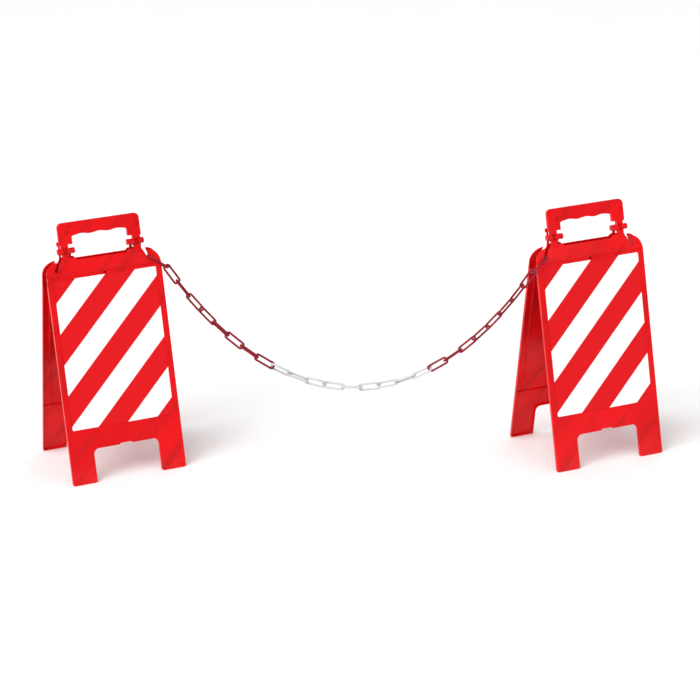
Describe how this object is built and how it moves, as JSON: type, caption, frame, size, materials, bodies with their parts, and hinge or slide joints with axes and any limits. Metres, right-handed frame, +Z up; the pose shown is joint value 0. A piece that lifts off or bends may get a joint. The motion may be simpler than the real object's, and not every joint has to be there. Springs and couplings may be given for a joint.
{
  "type": "folding traffic barrier",
  "caption": "Folding traffic barrier: two red A-frame stands with carrying handles and diagonal red and white sheeting, joined by a hanging red and white plastic chain.",
  "frame": {"origin": "on the floor under the middle of the whole barrier's bounding box", "axes": "+X along the chain from the left stand to the right stand, +Y towards the rear panels, +Z up; the stands are turned 30 degrees about +Z"},
  "size_m": [1.6008, 0.546, 0.6445],
  "materials": {
    "moulded_red": "saturated red injection moulding, glossy outer faces with a fine grain on the inner ones",
    "sheeting": "self-adhesive reflective sheeting with broad diagonal red and white bands",
    "chain_red": "crimson moulded chain link, satin gloss with a faint mould seam",
    "chain_white": "off-white moulded chain link, satin gloss with a faint mould seam"
  },
  "bodies": {
    "left_front": {"left_front_panel": "moulded_red", "left_front_sheet": "sheeting", "left_hinge_pin_1": "moulded_red", "left_hinge_pin_2": "moulded_red", "left_pin_cap_1": "moulded_red", "left_pin_cap_2": "moulded_red"},
    "left_rear": {"left_rear_panel": "moulded_red", "left_rear_sheet": "sheeting"},
    "right_front": {"right_front_panel": "moulded_red", "right_front_sheet": "sheeting", "right_hinge_pin_1": "moulded_red", "right_hinge_pin_2": "moulded_red", "right_pin_cap_1": "moulded_red", "right_pin_cap_2": "moulded_red"},
    "right_rear": {"right_rear_panel": "moulded_red", "right_rear_sheet": "sheeting"},
    "link_01": {"link_01": "chain_red"},
    "link_02": {"link_02": "chain_red"},
    "link_03": {"link_03": "chain_red"},
    "link_04": {"link_04": "chain_red"},
    "link_05": {"link_05": "chain_red"},
    "link_06": {"link_06": "chain_red"},
    "link_07": {"link_07": "chain_red"},
    "link_08": {"link_08": "chain_red"},
    "link_09": {"link_09": "chain_red"},
    "link_10": {"link_10": "chain_white"},
    "link_11": {"link_11": "chain_white"},
    "link_12": {"link_12": "chain_white"},
    "link_13": {"link_13": "chain_white"},
    "link_14": {"link_14": "chain_white"},
    "link_15": {"link_15": "chain_white"},
    "link_16": {"link_16": "chain_white"},
    "link_17": {"link_17": "chain_white"},
    "link_18": {"link_18": "chain_white"},
    "link_19": {"link_19": "chain_red"},
    "link_20": {"link_20": "chain_red"},
    "link_21": {"link_21": "chain_red"},
    "link_22": {"link_22": "chain_red"},
    "link_23": {"link_23": "chain_red"},
    "link_24": {"link_24": "chain_red"},
    "link_25": {"link_25": "chain_red"},
    "link_26": {"link_26": "chain_red"},
    "link_27": {"link_27": "chain_red"}
  },
  "joints": [
    {"name": "left_fold", "type": "hinge", "parent": "left_front", "child": "left_rear", "pos_m": [-0.60288, -0.08078, 0.574], "axis": [-0.866, -0.5, 0], "range_deg": [0, 22]},
    {"name": "right_fold", "type": "hinge", "parent": "right_front", "child": "right_rear", "pos_m": [0.60288, 0.08078, 0.574], "axis": [-0.866, -0.5, 0], "range_deg": [0, 22]},
    {"name": "spacing", "type": "slide", "parent": "left_front", "child": "right_front", "axis": [1, 0, 0], "range_m": [-0.045, 0.04]},
    {"name": "link_01_tilt", "type": "hinge", "parent": "left_front", "child": "link_01", "pos_m": [-0.48996, -0.03277, 0.52896], "axis": [0, 1, 0], "range_deg": [-1.5, 1.5]},
    {"name": "link_02_tilt", "type": "hinge", "parent": "link_01", "child": "link_02", "pos_m": [-0.45035, -0.02185, 0.50199], "axis": [0, 1, 0], "range_deg": [-3.8, 3.8]},
    {"name": "link_03_tilt", "type": "hinge", "parent": "link_02", "child": "link_03", "pos_m": [-0.42404, -0.02185, 0.46328], "axis": [0, 1, 0], "range_deg": [-0.4, 0.4]},
    {"name": "link_04_tilt", "type": "hinge", "parent": "link_03", "child": "link_04", "pos_m": [-0.39616, -0.02185, 0.42569], "axis": [0, 1, 0], "range_deg": [-0.4, 0.4]},
    {"name": "link_05_tilt", "type": "hinge", "parent": "link_04", "child": "link_05", "pos_m": [-0.36658, -0.02185, 0.38942], "axis": [0, 1, 0], "range_deg": [-0.4, 0.4]},
    {"name": "link_06_tilt", "type": "hinge", "parent": "link_05", "child": "link_06", "pos_m": [-0.33516, -0.02185, 0.35474], "axis": [0, 1, 0], "range_deg": [-0.3, 0.3]},
    {"name": "link_07_tilt", "type": "hinge", "parent": "link_06", "child": "link_07", "pos_m": [-0.30174, -0.02185, 0.32197], "axis": [0, 1, 0], "range_deg": [-0.4, 0.4]},
    {"name": "link_08_tilt", "type": "hinge", "parent": "link_07", "child": "link_08", "pos_m": [-0.26623, -0.02185, 0.2915], "axis": [0, 1, 0], "range_deg": [-0.5, 0.5]},
    {"name": "link_09_tilt", "type": "hinge", "parent": "link_08", "child": "link_09", "pos_m": [-0.22853, -0.02185, 0.26376], "axis": [0, 1, 0], "range_deg": [-0.6, 0.6]},
    {"name": "link_10_tilt", "type": "hinge", "parent": "link_09", "child": "link_10", "pos_m": [-0.18863, -0.02185, 0.2393], "axis": [0, 1, 0], "range_deg": [-0.8, 0.8]},
    {"name": "link_11_tilt", "type": "hinge", "parent": "link_10", "child": "link_11", "pos_m": [-0.14661, -0.02185, 0.2187], "axis": [0, 1, 0], "range_deg": [-1, 1]},
    {"name": "link_12_tilt", "type": "hinge", "parent": "link_11", "child": "link_12", "pos_m": [-0.10269, -0.02185, 0.20254], "axis": [0, 1, 0], "range_deg": [-1.2, 1.2]},
    {"name": "link_13_tilt", "type": "hinge", "parent": "link_12", "child": "link_13", "pos_m": [-0.05724, -0.02185, 0.1914], "axis": [0, 1, 0], "range_deg": [-1.4, 1.4]},
    {"name": "link_14_tilt", "type": "hinge", "parent": "link_13", "child": "link_14", "pos_m": [-0.01078, -0.02185, 0.1857], "axis": [0, 1, 0], "range_deg": [-1.5, 1.5]},
    {"name": "link_15_tilt", "type": "hinge", "parent": "link_14", "child": "link_15", "pos_m": [0.03602, -0.02185, 0.1857], "axis": [0, 1, 0], "range_deg": [-1.5, 1.5]},
    {"name": "link_16_tilt", "type": "hinge", "parent": "link_15", "child": "link_16", "pos_m": [0.08247, -0.02185, 0.1914], "axis": [0, 1, 0], "range_deg": [-1.4, 1.4]},
    {"name": "link_17_tilt", "type": "hinge", "parent": "link_16", "child": "link_17", "pos_m": [0.12792, -0.02185, 0.20254], "axis": [0, 1, 0], "range_deg": [-1.2, 1.2]},
    {"name": "link_18_tilt", "type": "hinge", "parent": "link_17", "child": "link_18", "pos_m": [0.17185, -0.02185, 0.2187], "axis": [0, 1, 0], "range_deg": [-1, 1]},
    {"name": "link_19_tilt", "type": "hinge", "parent": "link_18", "child": "link_19", "pos_m": [0.21387, -0.02185, 0.2393], "axis": [0, 1, 0], "range_deg": [-0.8, 0.8]},
    {"name": "link_20_tilt", "type": "hinge", "parent": "link_19", "child": "link_20", "pos_m": [0.25377, -0.02185, 0.26376], "axis": [0, 1, 0], "range_deg": [-0.6, 0.6]},
    {"name": "link_21_tilt", "type": "hinge", "parent": "link_20", "child": "link_21", "pos_m": [0.29146, -0.02185, 0.2915], "axis": [0, 1, 0], "range_deg": [-0.5, 0.5]},
    {"name": "link_22_tilt", "type": "hinge", "parent": "link_21", "child": "link_22", "pos_m": [0.32698, -0.02185, 0.32197], "axis": [0, 1, 0], "range_deg": [-0.4, 0.4]},
    {"name": "link_23_tilt", "type": "hinge", "parent": "link_22", "child": "link_23", "pos_m": [0.36039, -0.02185, 0.35474], "axis": [0, 1, 0], "range_deg": [-0.3, 0.3]},
    {"name": "link_24_tilt", "type": "hinge", "parent": "link_23", "child": "link_24", "pos_m": [0.39182, -0.02185, 0.38942], "axis": [0, 1, 0], "range_deg": [-0.4, 0.4]},
    {"name": "link_25_tilt", "type": "hinge", "parent": "link_24", "child": "link_25", "pos_m": [0.4214, -0.02185, 0.42569], "axis": [0, 1, 0], "range_deg": [-0.4, 0.4]},
    {"name": "link_26_tilt", "type": "hinge", "parent": "link_25", "child": "link_26", "pos_m": [0.44927, -0.02185, 0.46328], "axis": [0, 1, 0], "range_deg": [-0.4, 0.4]},
    {"name": "link_27_tilt", "type": "hinge", "parent": "link_26", "child": "link_27", "pos_m": [0.47558, -0.02185, 0.50199], "axis": [0, 1, 0], "range_deg": [-3.8, 3.8]}
  ],
  "couplings": [
    {"joint": "link_01_tilt", "follows": "spacing", "rad_per_m": -0.3938},
    {"joint": "link_02_tilt", "follows": "spacing", "rad_per_m": -1.1814},
    {"joint": "link_03_tilt", "follows": "spacing", "rad_per_m": -0.0466},
    {"joint": "link_04_tilt", "follows": "spacing", "rad_per_m": -0.0395},
    {"joint": "link_05_tilt", "follows": "spacing", "rad_per_m": -0.0278},
    {"joint": "link_06_tilt", "follows": "spacing", "rad_per_m": -0.0096},
    {"joint": "link_07_tilt", "follows": "spacing", "rad_per_m": 0.0172},
    {"joint": "link_08_tilt", "follows": "spacing", "rad_per_m": 0.0549},
    {"joint": "link_09_tilt", "follows": "spacing", "rad_per_m": 0.1053},
    {"joint": "link_10_tilt", "follows": "spacing", "rad_per_m": 0.1686},
    {"joint": "link_11_tilt", "follows": "spacing", "rad_per_m": 0.2416},
    {"joint": "link_12_tilt", "follows": "spacing", "rad_per_m": 0.3162},
    {"joint": "link_13_tilt", "follows": "spacing", "rad_per_m": 0.3792},
    {"joint": "link_14_tilt", "follows": "spacing", "rad_per_m": 0.4157},
    {"joint": "link_15_tilt", "follows": "spacing", "rad_per_m": 0.4157},
    {"joint": "link_16_tilt", "follows": "spacing", "rad_per_m": 0.3792},
    {"joint": "link_17_tilt", "follows": "spacing", "rad_per_m": 0.3162},
    {"joint": "link_18_tilt", "follows": "spacing", "rad_per_m": 0.2416},
    {"joint": "link_19_tilt", "follows": "spacing", "rad_per_m": 0.1686},
    {"joint": "link_20_tilt", "follows": "spacing", "rad_per_m": 0.1053},
    {"joint": "link_21_tilt", "follows": "spacing", "rad_per_m": 0.0549},
    {"joint": "link_22_tilt", "follows": "spacing", "rad_per_m": 0.0172},
    {"joint": "link_23_tilt", "follows": "spacing", "rad_per_m": -0.0096},
    {"joint": "link_24_tilt", "follows": "spacing", "rad_per_m": -0.0278},
    {"joint": "link_25_tilt", "follows": "spacing", "rad_per_m": -0.0395},
    {"joint": "link_26_tilt", "follows": "spacing", "rad_per_m": -0.0466},
    {"joint": "link_27_tilt", "follows": "spacing", "rad_per_m": -1.1814}
  ]
}
